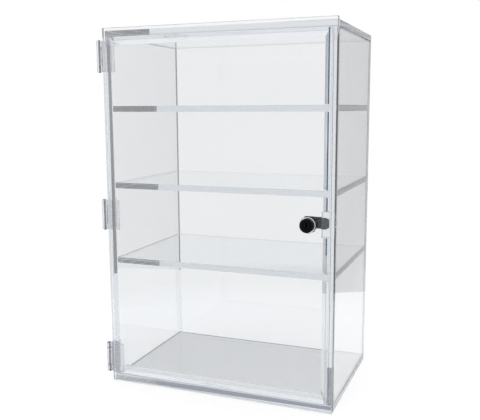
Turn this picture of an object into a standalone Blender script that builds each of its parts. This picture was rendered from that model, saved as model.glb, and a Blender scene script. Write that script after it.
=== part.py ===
"""A lockable display case of clear acrylic sheet: three bonded shelves behind a hinged front door.

The frame is +X to the right as a person faces the door, +Y to the back and +Z up, in metres.
The origin is the centre of the bottom panel's underside, which the case stands on. Solids that
touch in the real case keep a gap of GAP here.
"""

from math import cos, pi, radians, sin

import bmesh
import bpy
from mathutils import Matrix, Vector

MM = 0.001
GAP = 0.3 * MM

# The case
CASE_WIDTH = 392 * MM
CASE_DEPTH = 246 * MM
CASE_HEIGHT = 600 * MM
SHEET = 10 * MM
SHELF_TOPS = {"shelf_lower": 221 * MM, "shelf_middle": 350 * MM, "shelf_upper": 478 * MM}
SHELF_RECESS = 1.5 * MM

# The strips inside the front opening, and the block that the lock's cam turns behind
STRIP_WIDTH = 12 * MM
STRIP_DEPTH = 15 * MM
STRIP_BEVEL = 10 * MM
STRIKE_HEIGHT = 40 * MM

# The door
DOOR_GAP = 2 * MM
DOOR_ABOVE = 4 * MM
DOOR_CLEARANCE = 1 * MM
BUMPER_RADIUS = 3.5 * MM
BUMPER_HEIGHTS = {"door_bumper_upper": 575 * MM, "door_bumper_lower": 25 * MM}

# The hinges
HINGE_HEIGHTS = {"hinge_lower": 44 * MM, "hinge_middle": 296 * MM, "hinge_upper": 558 * MM}
HINGE_LENGTH = 50 * MM
KNUCKLE_LENGTH = 31 * MM
KNUCKLE_GAP = 0.4 * MM
BARREL_RADIUS = 4.5 * MM
AXIS_OUT = 5 * MM
AXIS_AHEAD = 1.7 * MM
LEAF_THICKNESS = 3 * MM
LEAF_REACH = 23 * MM
PIN_RADIUS = 1.5 * MM
PIN_HEAD_RADIUS = 2.6 * MM
PIN_HEAD = 0.9 * MM

# The cam lock. Its own frame stands on the case's front plane with +Z out of the door.
LOCK_FROM_DOOR_EDGE = 41 * MM
LOCK_HEIGHT = 298 * MM
BODY_RADIUS = 9.5 * MM
BODY_END = -13 * MM
HEAD_RADIUS = 11 * MM
HEAD_FRONT = 22 * MM
HEAD_BACK = 15.5 * MM
THREAD_PITCH = 1.4 * MM
THREAD_DEPTH = 0.7 * MM
GASKET_RADIUS = 13 * MM
GASKET_THICKNESS = 0.8 * MM
BEZEL_RADIUS = 12.4 * MM
NUT_FLATS = 24 * MM
NUT_THICKNESS = 4 * MM
PLUG_RADIUS = 6 * MM
PLUG_FRONT = 21.5 * MM
TAIL_SIDE = 8 * MM
TAIL_END = -18.5 * MM
KEYWAY = Vector((2.4 * MM, 8.4 * MM))
WAFERS = 5
WAFER_PITCH = 4 * MM
WAFER_FIRST = 10 * MM
WAFER_SIZE = Vector((5 * MM, 11 * MM, 1 * MM))
CAM_LENGTH = 29.5 * MM
CAM_RADIUS = 9 * MM
CAM_THICKNESS = 3 * MM
CAM_CLEARANCE = 0.8 * MM
WASHER_RADIUS = 5.5 * MM
SCREW_RADIUS = 2 * MM
SCREW_HEAD_RADIUS = 3.8 * MM
SCREW_HEAD_BACK = -22.9 * MM
SCREW_TIP = -10.5 * MM

# Places worked out from the sizes above
FRONT = -CASE_DEPTH / 2
BACK = CASE_DEPTH / 2
SIDE = CASE_WIDTH / 2
INNER_SIDE = SIDE - SHEET
INNER_TOP = CASE_HEIGHT - SHEET
DOOR_BACK = FRONT - DOOR_GAP
DOOR_FRONT = DOOR_BACK - SHEET
DOOR_THROUGH = DOOR_GAP + SHEET
HINGE_AXIS = Vector((-SIDE - AXIS_OUT, DOOR_FRONT - AXIS_AHEAD, 0))
LOCK_SEAT = Vector((SIDE - LOCK_FROM_DOOR_EDGE, FRONT, LOCK_HEIGHT))
BORE_RADIUS = BODY_RADIUS + GAP

ROUND = 32
SMALL_ROUND = 20


def empty_scene():
    for obj in list(bpy.data.objects):
        bpy.data.objects.remove(obj, do_unlink=True)
    for group in list(bpy.data.collections):
        bpy.data.collections.remove(group)


def new_collection(name):
    group = bpy.data.collections.new(name)
    bpy.context.scene.collection.children.link(group)
    return group


def principled(name, colour, roughness, metallic=0.0, transmission=0.0):
    material = bpy.data.materials.new(name)
    material.use_nodes = True
    shader = material.node_tree.nodes["Principled BSDF"]
    shader.inputs["Base Color"].default_value = (*colour, 1.0)
    shader.inputs["Roughness"].default_value = roughness
    shader.inputs["Metallic"].default_value = metallic
    shader.inputs["Transmission Weight"].default_value = transmission
    shader.inputs["IOR"].default_value = 1.49
    return material


def new_object(name, data, material, parent=None):
    obj = bpy.data.objects.new(name, data)
    PARTS.objects.link(obj)
    if material:
        data.materials.append(material)
    obj.parent = parent
    return obj


def smooth_mesh(name, bm):
    """A mesh that is smooth across its curves and sharp at its edges."""
    mesh = bpy.data.meshes.new(name)
    bm.to_mesh(mesh)
    bm.free()
    mesh.shade_smooth()
    mesh.set_sharp_from_angle(angle=radians(35))
    return mesh


def mesh_object(name, bm, material, parent=None):
    return new_object(name, smooth_mesh(name, bm), material, parent)


def box_bmesh(low, high):
    low, high = Vector(low), Vector(high)
    bm = bmesh.new()
    bmesh.ops.create_cube(bm, size=1.0)
    bmesh.ops.scale(bm, vec=high - low, verts=bm.verts)
    bmesh.ops.translate(bm, vec=(low + high) / 2, verts=bm.verts)
    return bm


def box(name, low, high, material, parent=None):
    return mesh_object(name, box_bmesh(low, high), material, parent)


def rod_bmesh(radius, start, end, segments, centre=(0, 0)):
    """A cylinder along Z from start to end."""
    bm = bmesh.new()
    bmesh.ops.create_cone(
        bm, cap_ends=True, segments=segments, radius1=radius, radius2=radius, depth=end - start
    )
    bmesh.ops.translate(bm, vec=(*centre, (start + end) / 2), verts=bm.verts)
    return bm


def turned(name, profile, material, parent, closed):
    """A body of revolution about Z. profile holds (radius, height) points, outer side first, going down."""
    bm = bmesh.new()
    points = [bm.verts.new((radius, 0, height)) for radius, height in profile]
    for start, end in zip(points, points[1:]):
        bm.edges.new((start, end))
    if closed:
        bm.edges.new((points[-1], points[0]))
    obj = mesh_object(name, bm, material, parent)
    screw = obj.modifiers.new("Turn", "SCREW")
    screw.axis = "Z"
    screw.steps = ROUND
    screw.render_steps = ROUND
    screw.use_merge_vertices = True
    screw.merge_threshold = 0.00001
    screw.use_smooth_shade = True
    return obj


def arc(centre, radius, start, end, steps):
    return [
        (centre[0] + radius * cos(start + (end - start) * i / steps),
         centre[1] + radius * sin(start + (end - start) * i / steps))
        for i in range(steps + 1)
    ]


def circle(radius, steps):
    return arc((0, 0), radius, 0, 2 * pi, steps)[:-1]


def rectangle(width, height):
    x, y = width / 2, height / 2
    return [(-x, -y), (x, -y), (x, y), (-x, y)]


def plate(name, outlines, start, end, material, parent):
    """A flat plate between two heights on Z. The first outline is its edge and the others are holes."""
    curve = bpy.data.curves.new(name, "CURVE")
    curve.dimensions = "2D"
    curve.fill_mode = "BOTH"
    curve.extrude = (end - start) / 2
    for outline in outlines:
        spline = curve.splines.new("POLY")
        spline.points.add(len(outline) - 1)
        for point, (x, y) in zip(spline.points, outline):
            point.co = (x, y, 0, 1)
        spline.use_cyclic_u = True
    obj = new_object(name, curve, material, parent)
    obj.location.z = (start + end) / 2
    return obj


def boolean(obj, bm, operation, parent=None):
    """Cuts bm out of obj, or joins it on. bm is in the frame of the object's parent."""
    mesh = smooth_mesh(f"{obj.name} {operation.lower()}", bm)
    cutter = bpy.data.objects.new(mesh.name, mesh)
    CUTTERS.objects.link(cutter)
    cutter.parent = parent
    cutter.hide_render = True
    cutter.display_type = "WIRE"
    modifier = obj.modifiers.new(cutter.name, "BOOLEAN")
    modifier.operation = operation
    modifier.object = cutter
    modifier.solver = "EXACT"


def pivot(name, location, rotation=(0, 0, 0), parent=None):
    """An empty on a joint's axis. location is in the parent's frame."""
    empty = bpy.data.objects.new(name, None)
    PARTS.objects.link(empty)
    empty.empty_display_size = 0.02
    empty.location = location
    empty.rotation_euler = rotation
    empty.parent = parent
    return empty


def build_case_panels():
    box("bottom_panel", (-SIDE, FRONT, 0), (SIDE, BACK, SHEET), ACRYLIC)
    box("top_panel", (-SIDE, FRONT, INNER_TOP), (SIDE, BACK, CASE_HEIGHT), ACRYLIC)
    low, high = SHEET + GAP, INNER_TOP - GAP
    box("left_side_panel", (-SIDE, FRONT, low), (-INNER_SIDE, BACK, high), ACRYLIC)
    box("right_side_panel", (INNER_SIDE, FRONT, low), (SIDE, BACK, high), ACRYLIC)
    reach = INNER_SIDE - GAP
    box("back_panel", (-reach, BACK - SHEET, low), (reach, BACK, high), ACRYLIC)
    for name, top in SHELF_TOPS.items():
        front, back = FRONT + SHELF_RECESS, BACK - SHEET - GAP
        box(name, (-reach, front, top - SHEET), (reach, back, top), ACRYLIC)


def bevelled_strip(name, low, high, inner, mitres):
    """A strip with one long front edge bevelled, and its ends cut by the mitre planes.

    inner says whether a point (x, z) lies on the strip's edge that faces into the opening.
    """
    bm = box_bmesh(low, high)
    edges = [
        edge for edge in bm.edges
        if all(abs(v.co.y - FRONT) < GAP and inner(v.co.x, v.co.z) for v in edge.verts)
    ]
    bmesh.ops.bevel(
        bm, geom=edges, offset=STRIP_BEVEL, offset_type="OFFSET", segments=1, affect="EDGES"
    )
    for point, normal in mitres:
        everything = bm.verts[:] + bm.edges[:] + bm.faces[:]
        cut = bmesh.ops.bisect_plane(
            bm, geom=everything, dist=0.000001, plane_co=point, plane_no=normal, clear_outer=True
        )
        rim = [item for item in cut["geom_cut"] if isinstance(item, bmesh.types.BMEdge)]
        bmesh.ops.edgeloop_fill(bm, edges=rim)
    bmesh.ops.recalc_face_normals(bm, faces=bm.faces)
    mesh_object(name, bm, ACRYLIC)


def build_strips():
    reach = INNER_SIDE - GAP
    bottom, top = SHEET + GAP, INNER_TOP - GAP
    back = FRONT + STRIP_DEPTH
    inner_x = reach - STRIP_WIDTH
    half_gap = GAP / 2

    def above_sill(x, z):
        return z > bottom + STRIP_WIDTH / 2

    def below_lintel(x, z):
        return z < top - STRIP_WIDTH / 2

    def left_of_jamb(x, z):
        return x < reach - STRIP_WIDTH / 2

    upper_corner, lower_corner = Vector((reach, FRONT, top)), Vector((reach, FRONT, bottom))
    rising, falling = Vector((1, 0, -1)).normalized(), Vector((1, 0, 1)).normalized()

    bevelled_strip(
        "stop_strip_top", (-reach, FRONT, top - STRIP_WIDTH), (reach, back, top), below_lintel,
        [(upper_corner - rising * half_gap, rising)],
    )
    bevelled_strip(
        "stop_strip_bottom", (-reach, FRONT, bottom), (reach, back, bottom + STRIP_WIDTH), above_sill,
        [(lower_corner - falling * half_gap, falling)],
    )

    strike_low, strike_high = LOCK_HEIGHT - STRIKE_HEIGHT / 2, LOCK_HEIGHT + STRIKE_HEIGHT / 2
    box("strike_block", (inner_x, FRONT, strike_low), (reach, back, strike_high), ACRYLIC)
    lower, middle, upper = SHELF_TOPS.values()
    runs = {
        "stop_strip_right_bottom": (bottom, lower - SHEET - GAP),
        "stop_strip_right_below_lock": (lower + GAP, strike_low - GAP),
        "stop_strip_right_above_lock": (strike_high + GAP, middle - SHEET - GAP),
        "stop_strip_right_upper": (middle + GAP, upper - SHEET - GAP),
        "stop_strip_right_top": (upper + GAP, top),
    }
    mitres = {
        "stop_strip_right_top": [(upper_corner + rising * half_gap, -rising)],
        "stop_strip_right_bottom": [(lower_corner + falling * half_gap, -falling)],
    }
    for name, (low, high) in runs.items():
        corner_low, corner_high = (inner_x, FRONT, low), (reach, back, high)
        bevelled_strip(name, corner_low, corner_high, left_of_jamb, mitres.get(name, []))


def build_bumpers():
    """Clear pads on the right panel's front edge, which the door closes against."""
    for name, height in BUMPER_HEIGHTS.items():
        pad = mesh_object(name, rod_bmesh(BUMPER_RADIUS, GAP, DOOR_GAP - GAP, SMALL_ROUND), ACRYLIC)
        pad.location = (SIDE - SHEET / 2, FRONT, height)
        pad.rotation_euler = (radians(90), 0, 0)


def build_hinge(name, height, door_pivot):
    low, high = height - HINGE_LENGTH / 2, height + HINGE_LENGTH / 2
    middle_low, middle_high = height - KNUCKLE_LENGTH / 2, height + KNUCKLE_LENGTH / 2
    axis = (HINGE_AXIS.x, HINGE_AXIS.y)
    clear = BARREL_RADIUS + KNUCKLE_GAP
    bore = PIN_RADIUS + GAP
    side_face = -SIDE - GAP

    leaf = box(
        f"{name}_case_leaf",
        (side_face - LEAF_THICKNESS, HINGE_AXIS.y, low),
        (side_face, DOOR_FRONT + LEAF_REACH + GAP, high),
        ACRYLIC,
    )
    boolean(leaf, rod_bmesh(BARREL_RADIUS, low, high, ROUND, axis), "UNION")
    window_low = (axis[0] - clear, axis[1] - clear, middle_low - KNUCKLE_GAP)
    window_high = (axis[0] + clear, axis[1] + clear, middle_high + KNUCKLE_GAP)
    boolean(leaf, box_bmesh(window_low, window_high), "DIFFERENCE")
    boolean(leaf, rod_bmesh(bore, low - MM, high + MM, SMALL_ROUND, axis), "DIFFERENCE")

    def on_door(point):
        return Vector(point) - HINGE_AXIS

    front_face = DOOR_FRONT - GAP
    leaf = box(
        f"{name}_door_leaf",
        on_door((HINGE_AXIS.x, front_face - LEAF_THICKNESS, low)),
        on_door((-SIDE + LEAF_REACH, front_face, high)),
        ACRYLIC,
        door_pivot,
    )
    boolean(leaf, rod_bmesh(BARREL_RADIUS, middle_low, middle_high, ROUND), "UNION", door_pivot)
    for end_low, end_high in ((low - MM, middle_low), (middle_high, high + MM)):
        notch = box_bmesh((-clear, -clear, end_low), (clear, clear, end_high))
        boolean(leaf, notch, "DIFFERENCE", door_pivot)
    hole = rod_bmesh(bore, low - MM, high + MM, SMALL_ROUND)
    boolean(leaf, hole, "DIFFERENCE", door_pivot)

    pin = turned(
        f"{name}_pin",
        [
            (0, high + GAP + PIN_HEAD),
            (PIN_HEAD_RADIUS, high + GAP + PIN_HEAD),
            (PIN_HEAD_RADIUS, high + GAP),
            (PIN_RADIUS, high + GAP),
            (PIN_RADIUS, low - GAP),
            (PIN_HEAD_RADIUS, low - GAP),
            (PIN_HEAD_RADIUS, low - GAP - PIN_HEAD),
            (0, low - GAP - PIN_HEAD),
        ],
        ACRYLIC, None, closed=False,
    )
    pin.location = HINGE_AXIS


def build_door(door_pivot):
    low = Vector((-SIDE, DOOR_FRONT, DOOR_CLEARANCE)) - HINGE_AXIS
    high = Vector((SIDE, DOOR_BACK, CASE_HEIGHT + DOOR_ABOVE)) - HINGE_AXIS
    door = box("door_panel", low, high, ACRYLIC, door_pivot)
    hole = rod_bmesh(BORE_RADIUS, DOOR_GAP - MM, DOOR_THROUGH + MM, ROUND)
    place = Matrix.Translation(LOCK_SEAT - HINGE_AXIS) @ Matrix.Rotation(radians(90), 4, "X")
    hole.transform(place)
    boolean(door, hole, "DIFFERENCE", door_pivot)


def thread_profile(top, bottom):
    """Zigzag points down the outside of the lock's body."""
    points = []
    turns = int((top - bottom) / THREAD_PITCH)
    for turn in range(turns):
        crest = top - turn * THREAD_PITCH
        points.append((BODY_RADIUS, crest))
        points.append((BODY_RADIUS - THREAD_DEPTH, crest - THREAD_PITCH / 2))
    points.append((BODY_RADIUS, top - turns * THREAD_PITCH))
    return points


def build_lock_housing(seat):
    chamfer = 0.8 * MM
    inner = PLUG_RADIUS + GAP
    turned(
        "lock_housing",
        [
            (inner + chamfer, HEAD_FRONT),
            (HEAD_RADIUS - chamfer, HEAD_FRONT),
            (HEAD_RADIUS, HEAD_FRONT - chamfer),
            (HEAD_RADIUS, HEAD_BACK),
            (BODY_RADIUS, HEAD_BACK),
            *thread_profile(DOOR_GAP, BODY_END + chamfer),
            (BODY_RADIUS - chamfer, BODY_END),
            (inner, BODY_END),
            (inner, HEAD_FRONT - chamfer),
        ],
        BLACK_LOCK, seat, closed=True,
    )
    gasket_low = DOOR_THROUGH + GAP
    gasket_top = gasket_low + GASKET_THICKNESS
    turned(
        "lock_gasket",
        [
            (GASKET_RADIUS, gasket_top),
            (GASKET_RADIUS, gasket_low),
            (BORE_RADIUS, gasket_low),
            (BORE_RADIUS, gasket_top),
        ],
        RUBBER, seat, closed=True,
    )
    bezel_low, bezel_high = gasket_top + GAP, HEAD_BACK - GAP
    round_over = 0.6 * MM
    turned(
        "lock_bezel",
        [
            (BEZEL_RADIUS - round_over, bezel_high),
            (BEZEL_RADIUS, bezel_high - round_over),
            (BEZEL_RADIUS, bezel_low),
            (BORE_RADIUS, bezel_low),
            (BORE_RADIUS, bezel_high),
        ],
        CHROME, seat, closed=True,
    )
    nut_top = DOOR_GAP - GAP
    corner = NUT_FLATS / 2 / cos(pi / 6)
    nut_outlines = [circle(corner, 6), circle(BORE_RADIUS, ROUND)]
    plate("lock_nut", nut_outlines, nut_top - NUT_THICKNESS, nut_top, BLACK_LOCK, seat)


def wafer_heights():
    return [WAFER_FIRST - i * WAFER_PITCH for i in range(WAFERS)]


def build_lock_plug(turn_axis):
    chamfer = 0.5 * MM
    plug = turned(
        "lock_plug",
        [
            (0, PLUG_FRONT),
            (PLUG_RADIUS - chamfer, PLUG_FRONT),
            (PLUG_RADIUS, PLUG_FRONT - chamfer),
            (PLUG_RADIUS, BODY_END),
            (0, BODY_END),
        ],
        BLACK_LOCK, turn_axis, closed=False,
    )
    half = TAIL_SIDE / 2
    tail = box_bmesh((-half, -half, TAIL_END), (half, half, BODY_END + MM))
    boolean(plug, tail, "UNION", turn_axis)
    keyway_end = wafer_heights()[-1] - 2 * MM
    slot = box_bmesh(
        (-KEYWAY.x / 2, -KEYWAY.y / 2, keyway_end), (KEYWAY.x / 2, KEYWAY.y / 2, PLUG_FRONT + MM)
    )
    boolean(plug, slot, "DIFFERENCE", turn_axis)
    width, depth = WAFER_SIZE.x / 2 + GAP, WAFER_SIZE.z / 2 + GAP
    for height in wafer_heights():
        pocket = box_bmesh(
            (-width, -PLUG_RADIUS - MM, height - depth), (width, PLUG_RADIUS + MM, height + depth)
        )
        boolean(plug, pocket, "DIFFERENCE", turn_axis)
    bore = rod_bmesh(SCREW_RADIUS + GAP, TAIL_END - MM, SCREW_TIP + MM, SMALL_ROUND)
    boolean(plug, bore, "DIFFERENCE", turn_axis)

    outlines = [
        rectangle(WAFER_SIZE.x, WAFER_SIZE.y),
        rectangle(KEYWAY.x + GAP, KEYWAY.y - MM),
    ]
    for index, height in enumerate(wafer_heights(), start=1):
        low, high = height - WAFER_SIZE.z / 2, height + WAFER_SIZE.z / 2
        plate(f"lock_wafer_{index}", outlines, low, high, BRASS, turn_axis)


def build_lock_cam(turn_axis):
    square = rectangle(TAIL_SIDE + 2 * GAP, TAIL_SIDE + 2 * GAP)
    washer_top = BODY_END - GAP
    cam_top = -STRIP_DEPTH - CAM_CLEARANCE
    cam_back = cam_top - CAM_THICKNESS
    stop_outline = arc((0, 0), CAM_RADIUS, radians(-60), radians(240), ROUND)
    plate("lock_stop_washer", [stop_outline, square], cam_top + GAP, washer_top, STEEL, turn_axis)

    far = (CAM_LENGTH - CAM_RADIUS, 0)
    outline = arc(far, CAM_RADIUS, -pi / 2, pi / 2, 14) + arc((0, 0), CAM_RADIUS, pi / 2, 1.5 * pi, 14)
    plate("lock_cam", [outline, square], cam_back, cam_top, BLACK_LOCK, turn_axis)

    washer_front = cam_back - GAP
    washer_back = washer_front - MM
    washer_outlines = [circle(WASHER_RADIUS, SMALL_ROUND), circle(SCREW_RADIUS + GAP, SMALL_ROUND)]
    plate("lock_cam_washer", washer_outlines, washer_back, washer_front, STEEL, turn_axis)

    seat = washer_back - GAP
    dome = 0.8 * MM
    screw = turned(
        "lock_cam_screw",
        [
            (0, SCREW_TIP),
            (SCREW_RADIUS, SCREW_TIP),
            (SCREW_RADIUS, seat),
            (SCREW_HEAD_RADIUS, seat),
            (SCREW_HEAD_RADIUS, SCREW_HEAD_BACK + dome),
            (SCREW_HEAD_RADIUS - dome, SCREW_HEAD_BACK),
            (0, SCREW_HEAD_BACK),
        ],
        STEEL, turn_axis, closed=False,
    )
    recess_half, recess_width, recess_depth = 2.3 * MM, 0.5 * MM, 1.2 * MM
    for half_x, half_y in ((recess_half, recess_width), (recess_width, recess_half)):
        slot = box_bmesh(
            (-half_x, -half_y, SCREW_HEAD_BACK - MM), (half_x, half_y, SCREW_HEAD_BACK + recess_depth)
        )
        boolean(screw, slot, "DIFFERENCE", turn_axis)


empty_scene()
PARTS = new_collection("display_case")
CUTTERS = new_collection("cutters")
ACRYLIC = principled("clear_acrylic", (0.93, 0.96, 0.97), 0.02, transmission=1.0)
BLACK_LOCK = principled("black_lock", (0.012, 0.012, 0.013), 0.25, metallic=0.4)
CHROME = principled("chrome", (0.82, 0.83, 0.85), 0.08, metallic=1.0)
STEEL = principled("zinc_steel", (0.62, 0.63, 0.65), 0.3, metallic=1.0)
BRASS = principled("brass", (0.78, 0.6, 0.28), 0.25, metallic=1.0)
RUBBER = principled("black_rubber", (0.02, 0.02, 0.02), 0.7)

DOOR_PIVOT = pivot("door_swing_axis", HINGE_AXIS)
LOCK_PIVOT = pivot("lock_seat", LOCK_SEAT - HINGE_AXIS, (radians(90), 0, 0), DOOR_PIVOT)
TURN_PIVOT = pivot("lock_turn_axis", (0, 0, 0), parent=LOCK_PIVOT)

build_case_panels()
build_strips()
build_bumpers()
build_door(DOOR_PIVOT)
for hinge_name, hinge_height in HINGE_HEIGHTS.items():
    build_hinge(hinge_name, hinge_height, DOOR_PIVOT)
build_lock_housing(LOCK_PIVOT)
build_lock_plug(TURN_PIVOT)
build_lock_cam(TURN_PIVOT)
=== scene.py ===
"""The looks of a clear acrylic display case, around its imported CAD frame. Units are metres."""

from math import cos, pi, radians, sin

import bmesh
import bpy
from mathutils import Matrix, Vector


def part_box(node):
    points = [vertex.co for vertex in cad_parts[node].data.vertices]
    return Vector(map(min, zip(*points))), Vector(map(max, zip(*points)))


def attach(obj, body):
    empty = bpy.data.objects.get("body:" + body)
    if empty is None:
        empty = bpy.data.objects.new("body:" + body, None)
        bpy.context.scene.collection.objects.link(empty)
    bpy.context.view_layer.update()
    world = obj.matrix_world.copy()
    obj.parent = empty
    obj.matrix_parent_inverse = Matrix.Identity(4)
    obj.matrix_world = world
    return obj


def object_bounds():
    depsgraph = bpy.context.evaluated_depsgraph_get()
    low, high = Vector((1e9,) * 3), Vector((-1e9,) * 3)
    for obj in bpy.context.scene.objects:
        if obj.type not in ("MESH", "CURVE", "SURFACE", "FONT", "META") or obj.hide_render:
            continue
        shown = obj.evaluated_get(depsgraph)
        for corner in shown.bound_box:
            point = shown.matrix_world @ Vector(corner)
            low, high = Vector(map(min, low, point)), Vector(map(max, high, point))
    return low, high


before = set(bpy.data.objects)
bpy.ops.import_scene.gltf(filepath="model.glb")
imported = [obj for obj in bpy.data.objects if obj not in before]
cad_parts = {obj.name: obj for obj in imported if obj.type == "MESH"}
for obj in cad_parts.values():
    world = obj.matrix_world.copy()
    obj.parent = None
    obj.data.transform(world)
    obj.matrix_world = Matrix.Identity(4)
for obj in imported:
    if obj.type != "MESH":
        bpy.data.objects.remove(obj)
cad_low, cad_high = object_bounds()

MM = 0.001
WHITE = (1, 1, 1, 1)
BLACKEST = (0, 0, 0, 1)

# The camera stands to the right of the case, a little above its middle
CAMERA_PLACE = Vector((0.42551, -1.11041, 0.47341))
CAMERA_YAW = radians(-21.32)
CAMERA_PITCH = radians(-8.575)
CAMERA_ROLL = radians(-0.269)
CAMERA_LENS = 50.646
SENSOR_WIDTH = 36.0
CLIP_START, CLIP_END = 0.01, 100

# The floor is a disc that fades into the white behind it
FLOOR_RADIUS = 0.66
FLOOR_BRIGHT_FROM = 0.45
FLOOR_BRIGHT_TO = FLOOR_RADIUS * 0.98
FLOOR_SIDES = 96
FLOOR_BELOW = 0.2 * MM
FLOOR_GLOW = (0.78, 0.78, 0.78, 1)
FLOOR_GREY = (0.3, 0.3, 0.3, 1)

# The studio. Azimuth is 0 behind the case and 90 degrees at its right.
WALL_STOPS = [
    # azimuth in degrees, and the wall's level of grey there
    (-180, 0.85),
    (-120, 0.80),
    (-100, 1.00),
    (4, 1.00),
    (9, 0.50),
    (18, 0.42),
    (24, 0.30),
    (31, 0.32),
    (42, 0.75),
    (180, 0.85),
]
WALL_LEAN = 0.23
FLAG_GREY = (0.34, 0.36, 0.4, 1)
FLAG_LOW, FLAG_HIGH = radians(13), radians(25)
FLAG_RIGHT, FLAG_LEFT = radians(5), radians(-105)
FLAG_LOW_BLUR, FLAG_HIGH_BLUR = 0.03, 0.06
FLAG_RIGHT_BLUR, FLAG_LEFT_BLUR = 0.05, 0.2
SOFTBOX = (1.1, 1.11, 1.14, 1)

# Clear acrylic
IOR_ACRYLIC = 1.49
SHEET_TINTS = (0.92, 0.93, 0.938), (0.93, 0.936, 0.942)
HINGE_TINTS = (0.8, 0.8, 0.82), (0.86, 0.86, 0.875)
PIN_TINTS = (0.24, 0.25, 0.27), (0.3, 0.31, 0.33)
PIN_ROUGHNESS = 0.05
CLOUD_SCALE = 6.0
ABSORBED = (0.71, 0.75, 0.8, 1)
ABSORPTION = 2.2

# Lock finishes
GRAIN_SCALE = 900.0
GRAIN_DEPTH = 0.03 * MM
GRAIN_STRENGTH = 0.3
BROAD_GRAIN = 12

# Softened edges
WELD_DISTANCE = 0.01 * MM
SHEET_EDGE = 0.5 * MM
SMALL_EDGE = 0.2 * MM
SHARPER_THAN = radians(40)

# Coloured lines down the right side of the front. The dark one, in the right panel's edge, is a painted
# reflection
LINE_DEPTH = 3.5 * MM
LINE_FROM_FRONT = MM
LINE_FROM_ENDS = 0.6 * MM
LINE_CUTS = 11
BLUE_ABOVE = cad_low.z + 250 * MM
STRIP_SHARE, PANEL_SHARE = 0.66, 0.22
BLUE_WIDTH, PALE_WIDTH, PAINTED_REFLECTION_WIDTH = 2.2 * MM, 0.15 * MM, 0.4 * MM

LIGHT_BOUNCES = 32


class Nodes:
    """Short calls for building a node tree."""

    def __init__(self, tree):
        self.tree = tree

    def feed(self, socket, value):
        """Links value to the socket if it is a socket too, and sets it otherwise."""
        if isinstance(value, bpy.types.NodeSocket):
            self.tree.links.new(value, socket)
        else:
            socket.default_value = value

    def add(self, kind, inputs=None, **settings):
        node = self.tree.nodes.new(kind)
        for name, value in settings.items():
            setattr(node, name, value)
        for name, value in (inputs or {}).items():
            self.feed(node.inputs[name], value)
        return node

    def math(self, operation, *values):
        node = self.add("ShaderNodeMath", operation=operation)
        for socket, value in zip(node.inputs, values):
            self.feed(socket, value)
        return node.outputs[0]

    def ramp(self, factor, stops):
        """stops holds (position, colour) pairs, with a colour of one grey number or three numbers."""
        node = self.add("ShaderNodeValToRGB", {"Fac": factor})
        elements = node.color_ramp.elements
        while len(elements) < len(stops):
            elements.new(0.5)
        for element, (position, colour) in zip(elements, stops):
            element.position = position
            red, green, blue = colour if isinstance(colour, tuple) else (colour,) * 3
            element.color = (red, green, blue, 1)
        return node.outputs["Color"]

    def mix(self, factor, first, second):
        node = self.add("ShaderNodeMix", {"Factor": factor}, data_type="RGBA")
        self.feed(node.inputs[6], first)
        self.feed(node.inputs[7], second)
        return node.outputs[2]

    def span(self, value, low, high, new_low=0.0, new_high=1.0):
        """Maps low..high to new_low..new_high, and holds the ends beyond it."""
        node = self.add("ShaderNodeMapRange", {"Value": value, "From Min": low, "From Max": high})
        node.inputs["To Min"].default_value = new_low
        node.inputs["To Max"].default_value = new_high
        return node.outputs["Result"]

    def noise(self, scale, detail):
        """Noise that is fixed to the object, as one grey number."""
        place = self.add("ShaderNodeTexCoord").outputs["Object"]
        settings = {"Vector": place, "Scale": scale, "Detail": detail}
        return self.add("ShaderNodeTexNoise", settings).outputs["Fac"]


# ---------------------------------------------------------------- camera and studio

def look_through_camera():
    camera = bpy.data.cameras.new("camera")
    obj = bpy.data.objects.new("camera", camera)
    bpy.context.scene.collection.objects.link(obj)
    camera.sensor_width = SENSOR_WIDTH
    camera.lens = CAMERA_LENS
    camera.clip_start = CLIP_START
    camera.clip_end = CLIP_END
    forward = Vector((
        sin(CAMERA_YAW) * cos(CAMERA_PITCH), cos(CAMERA_YAW) * cos(CAMERA_PITCH), sin(CAMERA_PITCH)
    ))
    level = forward.cross(Vector((0, 0, 1))).normalized()
    upright = level.cross(forward)
    right = cos(CAMERA_ROLL) * level + sin(CAMERA_ROLL) * upright
    up = cos(CAMERA_ROLL) * upright - sin(CAMERA_ROLL) * level
    place = Matrix((right, up, -forward)).transposed().to_4x4()
    place.translation = CAMERA_PLACE
    obj.matrix_world = place
    bpy.context.scene.camera = obj


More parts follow.
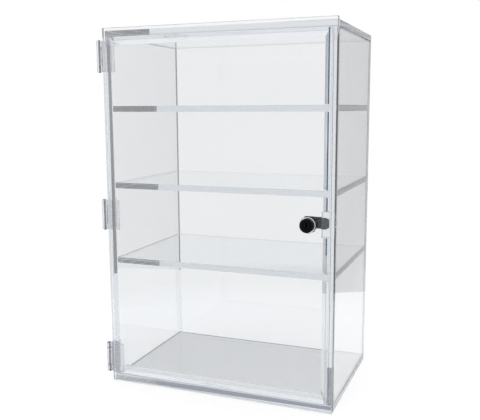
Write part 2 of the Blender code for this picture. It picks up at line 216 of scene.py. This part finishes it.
def light_studio():
    """A soft white studio, greyer at one side, with a grey flag above and a softbox overhead."""
    world = bpy.data.worlds.new("studio")
    bpy.context.scene.world = world
    world.use_nodes = True
    nodes = Nodes(world.node_tree)
    way = nodes.add("ShaderNodeTexCoord").outputs["Generated"]
    parts = nodes.add("ShaderNodeSeparateXYZ", {"Vector": way}).outputs
    azimuth = nodes.math("ARCTAN2", parts["X"], parts["Y"])
    rise = nodes.math("ARCSINE", parts["Z"])
    leaning = nodes.math("ADD", azimuth, nodes.math("MULTIPLY", rise, WALL_LEAN))
    wall_stops = [(degrees / 360 + 0.5, grey) for degrees, grey in WALL_STOPS]
    wall = nodes.ramp(nodes.span(leaning, -pi, pi), wall_stops)

    high_enough = nodes.span(rise, FLAG_LOW, FLAG_LOW + FLAG_LOW_BLUR)
    left_enough = nodes.span(azimuth, FLAG_RIGHT + FLAG_RIGHT_BLUR, FLAG_RIGHT)
    right_enough = nodes.span(azimuth, FLAG_LEFT, FLAG_LEFT + FLAG_LEFT_BLUR)
    flag = nodes.math("MULTIPLY", nodes.math("MULTIPLY", high_enough, left_enough), right_enough)
    overhead = nodes.span(rise, FLAG_HIGH, FLAG_HIGH + FLAG_HIGH_BLUR)
    colour = nodes.mix(overhead, nodes.mix(flag, wall, FLAG_GREY), SOFTBOX)

    # Straight from the camera, with nothing between, the studio is plain white
    seen = nodes.add("ShaderNodeLightPath").outputs["Is Camera Ray"]
    background = world.node_tree.nodes["Background"]
    world.node_tree.links.new(nodes.mix(seen, colour, WHITE), background.inputs["Color"])
    background.inputs["Strength"].default_value = 1.0


def build_floor():
    """A pale floor, shaded under the case and as bright as the studio at its rim."""
    bm = bmesh.new()
    bmesh.ops.create_circle(bm, cap_ends=True, segments=FLOOR_SIDES, radius=FLOOR_RADIUS)
    mesh = bpy.data.meshes.new("floor")
    bm.to_mesh(mesh)
    bm.free()
    floor = bpy.data.objects.new("floor", mesh)
    floor.location.z = cad_low.z - FLOOR_BELOW
    bpy.context.scene.collection.objects.link(floor)
    material, nodes, shader = new_material("pale_floor", Roughness=0.9, Specular_IOR_Level=0.0)
    place = nodes.add("ShaderNodeTexCoord").outputs["Object"]
    radius = nodes.add("ShaderNodeVectorMath", {0: place}, operation="LENGTH").outputs["Value"]
    rim = nodes.span(radius, FLOOR_BRIGHT_FROM, FLOOR_BRIGHT_TO)
    links = material.node_tree.links
    links.new(nodes.mix(rim, FLOOR_GREY, BLACKEST), shader.inputs["Base Color"])
    links.new(nodes.mix(rim, FLOOR_GLOW, WHITE), shader.inputs["Emission Color"])
    shader.inputs["Emission Strength"].default_value = 1.0
    mesh.materials.append(material)


# ---------------------------------------------------------------- materials

def new_material(name, **sockets):
    material = bpy.data.materials.new(name)
    material.use_nodes = True
    shader = material.node_tree.nodes["Principled BSDF"]
    for socket, value in sockets.items():
        shader.inputs[socket.replace("_", " ")].default_value = value
    return material, Nodes(material.node_tree), shader


def acrylic(name, tints, roughness=0.0):
    """Clear through its faces and blue-grey through its length, with a faintly uneven tint."""
    material, nodes, shader = new_material(
        name, Transmission_Weight=1.0, IOR=IOR_ACRYLIC, Roughness=roughness
    )
    dullest, clearest = tints
    tint = nodes.ramp(nodes.noise(CLOUD_SCALE, 2.0), [(0.3, dullest), (0.7, clearest)])
    depth = nodes.add("ShaderNodeVolumeAbsorption", {"Color": ABSORBED, "Density": ABSORPTION})
    links = material.node_tree.links
    links.new(tint, shader.inputs["Base Color"])
    links.new(depth.outputs["Volume"], material.node_tree.nodes["Material Output"].inputs["Volume"])
    return material


def line_tint(name, colour, strength):
    """The colour of a line that is seen inside the clear sheets."""
    material, nodes, shader = new_material(name, Roughness=0.3, Alpha=strength)
    paler = tuple(min(1.0, channel * 1.5) for channel in colour)
    tint = nodes.ramp(nodes.noise(30.0, 2.0), [(0.35, colour), (0.7, paler)])
    material.node_tree.links.new(tint, shader.inputs["Base Color"])
    return material


def satin(name, colour, roughness, metallic, specular=0.5):
    """A hard finish with fine grain in its roughness and surface."""
    material, nodes, shader = new_material(name, Metallic=metallic, Specular_IOR_Level=specular)
    fine = nodes.noise(GRAIN_SCALE, 3.0)
    broad = nodes.noise(GRAIN_SCALE / BROAD_GRAIN, 2.0)
    darker = tuple(channel * 0.82 for channel in colour)
    tone = nodes.ramp(broad, [(0.35, darker), (0.65, colour)])
    shine = nodes.span(fine, 0.3, 0.7, roughness * 0.75, roughness * 1.3)
    height = {"Height": fine, "Strength": GRAIN_STRENGTH, "Distance": GRAIN_DEPTH}
    bump = nodes.add("ShaderNodeBump", height)
    links = material.node_tree.links
    links.new(tone, shader.inputs["Base Color"])
    links.new(shine, shader.inputs["Roughness"])
    links.new(bump.outputs["Normal"], shader.inputs["Normal"])
    return material


SHEET = acrylic("acrylic_sheet", SHEET_TINTS)
HINGE = acrylic("acrylic_moulded", HINGE_TINTS)
PIN = acrylic("acrylic_smoked", PIN_TINTS, PIN_ROUGHNESS)
FINISHES = {
    "clear_acrylic": SHEET,
    "black_lock": satin("lock_black", (0.004, 0.004, 0.005), 0.34, 0.0, specular=0.08),
    "chrome": satin("bright_chrome", (0.86, 0.87, 0.89), 0.07, 1.0),
    "zinc_steel": satin("zinc_plate", (0.62, 0.63, 0.66), 0.28, 1.0),
    "brass": satin("wafer_brass", (0.8, 0.62, 0.3), 0.25, 1.0),
    "black_rubber": satin("gasket_rubber", (0.02, 0.02, 0.021), 0.75, 0.0),
}
BLUE = line_tint("tinted_line_blue", (0.03, 0.15, 0.31), 1.0)
PALE = line_tint("tinted_line_mist", (0.3, 0.36, 0.44), 0.6)
# Painted reflection: a dark grey sheet standing for the dark streak in the right panel's edge
PAINTED_DARK_REFLECTION = line_tint("painted_reflection_grey", (0.02, 0.03, 0.06), 0.75)


# ---------------------------------------------------------------- pieces

def soften(obj, width):
    """Fine bevels along a piece's sharp edges, once its split faces are joined again."""
    weld = obj.modifiers.new("one skin", "WELD")
    weld.merge_threshold = WELD_DISTANCE
    bevel = obj.modifiers.new("soft edges", "BEVEL")
    bevel.width = width
    bevel.segments = 2
    bevel.limit_method = "ANGLE"
    bevel.angle_limit = SHARPER_THAN


def finish_nodes():
    """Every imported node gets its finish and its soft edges."""
    for name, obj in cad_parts.items():
        slot = obj.material_slots[0]
        finish = FINISHES[slot.material.name]
        if name.startswith("hinge_"):
            finish = PIN if name.endswith("_pin") else HINGE
        slot.material = finish
        soften(obj, SHEET_EDGE if finish == SHEET else SMALL_EDGE)


def build_line(name, x, low, high, width, material):
    """A thin closed upright body at x, in the front of a piece that reaches from low to high."""
    first = Vector((x - width / 2, low.y + LINE_FROM_FRONT, low.z + LINE_FROM_ENDS))
    last = Vector((x + width / 2, low.y + LINE_DEPTH - LINE_FROM_FRONT, high.z - LINE_FROM_ENDS))
    bm = bmesh.new()
    bmesh.ops.create_cube(bm, size=1.0)
    uprights = [edge for edge in bm.edges if abs(edge.verts[0].co.z - edge.verts[1].co.z) > 0.5]
    bmesh.ops.subdivide_edges(bm, edges=uprights, cuts=LINE_CUTS, use_grid_fill=True)
    bmesh.ops.scale(bm, vec=last - first, verts=bm.verts)
    bmesh.ops.translate(bm, vec=(first + last) / 2, verts=bm.verts)
    mesh = bpy.data.meshes.new(name)
    bm.to_mesh(mesh)
    bm.free()
    obj = bpy.data.objects.new(name, mesh)
    bpy.context.scene.collection.objects.link(obj)
    mesh.materials.append(material)
    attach(obj, "case")


def build_lines():
    """Stand-ins for the coloured lines seen there: blue in the upper strips, pale in the lower ones."""
    for strip in sorted(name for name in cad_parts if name.startswith("stop_strip_right")):
        low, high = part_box(strip)
        part = strip[len("stop_strip_"):]
        # Each line is a thin tinted body inside the strip, at STRIP_SHARE of its width
        x = low.x + STRIP_SHARE * (high.x - low.x)
        if high.z > BLUE_ABOVE:
            bottom = Vector((low.x, low.y, max(low.z, BLUE_ABOVE)))
            build_line(f"tinted_line_blue_{part}", x, bottom, high, BLUE_WIDTH, BLUE)
        if low.z < BLUE_ABOVE:
            top = Vector((high.x, high.y, min(high.z, BLUE_ABOVE)))
            build_line(f"tinted_line_pale_{part}", x, low, top, PALE_WIDTH, PALE)
    # A painted reflection: a dark sheet inside the right panel, where its clear edge shows the dark
    # studio side
    low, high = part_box("right_side_panel")
    x = low.x + PANEL_SHARE * (high.x - low.x)
    build_line("painted_reflection_right_edge", x, low, high, PAINTED_REFLECTION_WIDTH, PAINTED_DARK_REFLECTION)


look_through_camera()
light_studio()
build_floor()
finish_nodes()
build_lines()

scene = bpy.context.scene
scene.cycles.max_bounces = LIGHT_BOUNCES
scene.cycles.transmission_bounces = LIGHT_BOUNCES
scene.cycles.glossy_bounces = LIGHT_BOUNCES
scene.view_settings.view_transform = "Standard"
